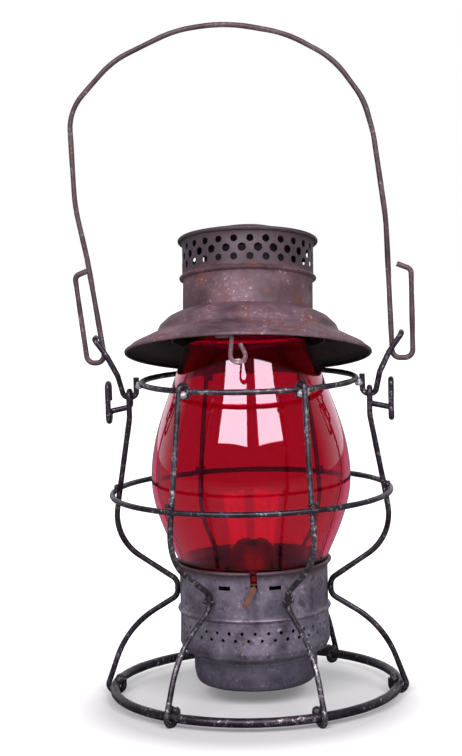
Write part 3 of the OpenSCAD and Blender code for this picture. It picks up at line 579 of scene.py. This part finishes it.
# To the right and a little to the front, square to the chimney
DENT_SIDE = Vector((0.97, -0.22 * math.cos(LID_OPEN), 0.22 * math.sin(LID_OPEN)))
CHIMNEY_R, DENT_UP = 0.0366, 0.034
dent(chimney, LID_MIDDLE + CHIMNEY_R * DENT_SIDE + DENT_UP * LID_AXIS, -DENT_SIDE,
     radius=0.0060, depth=0.0013)
for node in ("chimney_cap", "draft_tube", "lid_collar"):
    worn_copy(node, soot, longest=0.006, size=0.01, depth=0.0001, seed=2.6, hard=SHEET_EDGE)
for node in ("hinge_strap", "lid_rivets", "latch_bracket"):
    worn_copy(node, lid_rust, longest=0.006, size=0.01, depth=0.0001, seed=2.6, hard=SHEET_EDGE)

# %% [markdown]
# Through the red glass only the outlines of the burner show, and through the slot of the cup its
# thumb piece. These pieces could stay as bare frame pieces, but the lid opens and shows them, so
# they get the same smooth copies, with hardly any unevenness, because turned brass is truer than
# bent sheet.

# %% Inside the globe and the cup
for node, material in (("fount", dull_tin), ("fount_collar", old_brass),
                       ("burner_plate", old_brass), ("burner_body", old_brass),
                       ("wick_tube", old_brass), ("burner_cone", old_brass),
                       ("wick_shaft", old_brass), ("thumb_lever", old_copper), ("wick", cotton)):
    worn_copy(node, material, longest=0.02, size=0.01, depth=0.00003, seed=1.1, hard=SHEET_EDGE)

# %% [markdown]
# The photograph is a catalogue picture on a white ground with a faint shadow. The floor is a plain
# pale plane. To be white it could be lit harder, but that would bleach the lantern too, so it glows
# by itself away from the lantern. Near the lantern the glow is turned down, a painted shadow round
# its foot over the real one, centred a little in front of it. Bare metal and the coat of the glass
# would mirror that white floor from below, so what they mirror is darker. A refracted ray counts as
# a glossy ray too, so the darker floor is kept from rays that pass through the glass.

# %% Floor
# The floor's middle is the middle of its painted shadow, a little in front of the lantern and to its
# left
FLOOR_SIZE, PAINTED_SHADOW_MIDDLE = 4, (-0.002, -0.019, 0)
plane = bmesh.new()
bmesh.ops.create_grid(plane, x_segments=1, y_segments=1, size=FLOOR_SIZE)
floor_data = bpy.data.meshes.new("floor")
plane.to_mesh(floor_data)
plane.free()
floor = bpy.data.objects.new("floor", floor_data)
bpy.context.scene.collection.objects.link(floor)
floor.location = PAINTED_SHADOW_MIDDLE

# %% Floor paint
GLOW_FROM, GLOW_TO, PAINTED_SHADOW_GLOW = 0.080, 0.130, 0.17  # the glow rises between these two distances; nearer, the least glow is a painted shadow
floor_paint, floor_tree, floor_shader = new_material("pale floor")
ray = floor_tree.nodes.new("ShaderNodeLightPath")
not_through = cut(floor_tree, ray.outputs["Is Transmission Ray"], 0, 1, 0.0, 1.0)
mirrored = times(floor_tree, ray.outputs["Is Glossy Ray"], not_through)
floor_colour = blend_colour(floor_tree, mirrored, (0.42, 0.455, 0.42), (0.06, 0.06, 0.065))
floor_tree.links.new(floor_colour, floor_shader.inputs["Base Color"])
floor_shader.inputs["Roughness"].default_value = 0.9
floor_shader.inputs["Emission Color"].default_value = (1, 1, 1, 1)
distance = floor_tree.nodes.new("ShaderNodeVectorMath")
distance.operation = "LENGTH"
floor_tree.links.new(object_coords(floor_tree), distance.inputs[0])
# Near the lantern the glow is least: a painted shadow round its foot
glow = cut(floor_tree, distance.outputs["Value"], GLOW_FROM, GLOW_TO, 1.0, PAINTED_SHADOW_GLOW)
glow = times(floor_tree, glow, cut(floor_tree, mirrored, 0, 1, 0.1, 1.0))
floor_tree.links.new(glow, floor_shader.inputs["Emission Strength"])
floor_data.materials.append(floor_paint)

# %% [markdown]
# Two tall soft boxes show in the glass as bright windows. They could be painted on the globe, but
# then they would sit at one place of the glass in every view. Two large area lamps in front of the
# lantern make them as in the studio, because a lamp shows in whatever mirrors it.

# %% Soft boxes
LAMP_AWAY, LAMP_COLOUR = 1.6, (1, 0.88, 1)
LAMP_LOW, LAMP_HIGH = 0.77, 2.2


def soft_box(name, azimuth, width, watts):
    """An upright lamp before the lantern, at azimuth degrees from the front towards +X."""
    data = bpy.data.lights.new(name, "AREA")
    data.shape = "RECTANGLE"
    data.size, data.size_y = width, LAMP_HIGH - LAMP_LOW
    data.energy = watts
    data.color = LAMP_COLOUR
    lamp = bpy.data.objects.new(name, data)
    turn = math.radians(azimuth)
    lamp.location = (LAMP_AWAY * math.sin(turn), -LAMP_AWAY * math.cos(turn),
                     (LAMP_LOW + LAMP_HIGH) / 2)
    lamp.rotation_euler = (math.radians(90), 0, turn)
    bpy.context.scene.collection.objects.link(lamp)
    print(name, "stands at", [round(v, 2) for v in lamp.location])


soft_box("soft_box_left", azimuth=-17, width=1.05, watts=55)
soft_box("soft_box_right", azimuth=31.5, width=0.9, watts=46)

# %% [markdown]
# The rest of the light comes from the room: dark in front, so that the glass and the wires keep
# deep tones, and pale behind. The camera sees plain white there, and so does a ray that passes
# through the glass. That white is a colour and not more light, so it doesn't bleach the lantern.

# %% World
world = bpy.data.worlds.new("studio")
bpy.context.scene.world = world
world.use_nodes = True
sky = world.node_tree
direction = sky.nodes.new("ShaderNodeTexCoord")
towards = sky.nodes.new("ShaderNodeSeparateXYZ")
sky.links.new(direction.outputs["Generated"], towards.inputs["Vector"])
behind = cut(sky, towards.outputs["Y"], 0.1, 0.7)  # 0 before the lantern, 1 well behind it
room = blend_colour(sky, behind, (0.07, 0.07, 0.09), (0.85, 0.83, 0.90))
path = sky.nodes.new("ShaderNodeLightPath")
seen = blend_colour(sky, path.outputs["Is Transmission Ray"], room, (1, 1, 1))
seen = blend_colour(sky, path.outputs["Is Camera Ray"], seen, (1, 1, 1))
sky.links.new(seen, sky.nodes["Background"].inputs["Color"])
print("lamps in the scene:", len(bpy.data.lights))

# %% [markdown]
# The camera stands 1.13 m away, a little to the right of the front and 0.31 m up, and looks
# slightly down, which is how the photograph sees the rings of the cage and the holes of the
# chimney. It could be aimed at a point with a Track To constraint, but its turns were fitted to the
# ovals of the rings, so its three directions are worked out and set as its matrix.

# %% Camera
SIDE_TURN = math.radians(5)                # round the lantern, from the front towards +X
YAW, PITCH, ROLL = -0.0088, 0.1078, -0.0275
EYE = Vector((0, -1.13233, 0.30665))       # before the side turn
LENS, SENSOR, SEES_TO = 95.12, 36, 20      # millimetres, millimetres and metres

forward = Vector((math.sin(YAW) * math.cos(PITCH), math.cos(YAW) * math.cos(PITCH),
                  -math.sin(PITCH)))
level = Vector((math.cos(YAW), -math.sin(YAW), 0))
up = level.cross(forward)
right = math.cos(ROLL) * level + math.sin(ROLL) * up
up = math.cos(ROLL) * up - math.sin(ROLL) * level
turned = Matrix.Rotation(SIDE_TURN, 3, "Z")
right, up, forward = turned @ right, turned @ up, turned @ forward
camera_data = bpy.data.cameras.new("camera")
camera_data.lens, camera_data.sensor_width, camera_data.clip_end = LENS, SENSOR, SEES_TO
camera = bpy.data.objects.new("camera", camera_data)
axes = Matrix((right, up, -forward)).transposed().to_4x4()
camera.matrix_world = Matrix.Translation(turned @ EYE) @ axes
bpy.context.scene.collection.objects.link(camera)
bpy.context.scene.camera = camera
bpy.context.scene.view_settings.view_transform = "Standard"
print("the camera stands at", [round(v, 3) for v in turned @ EYE])
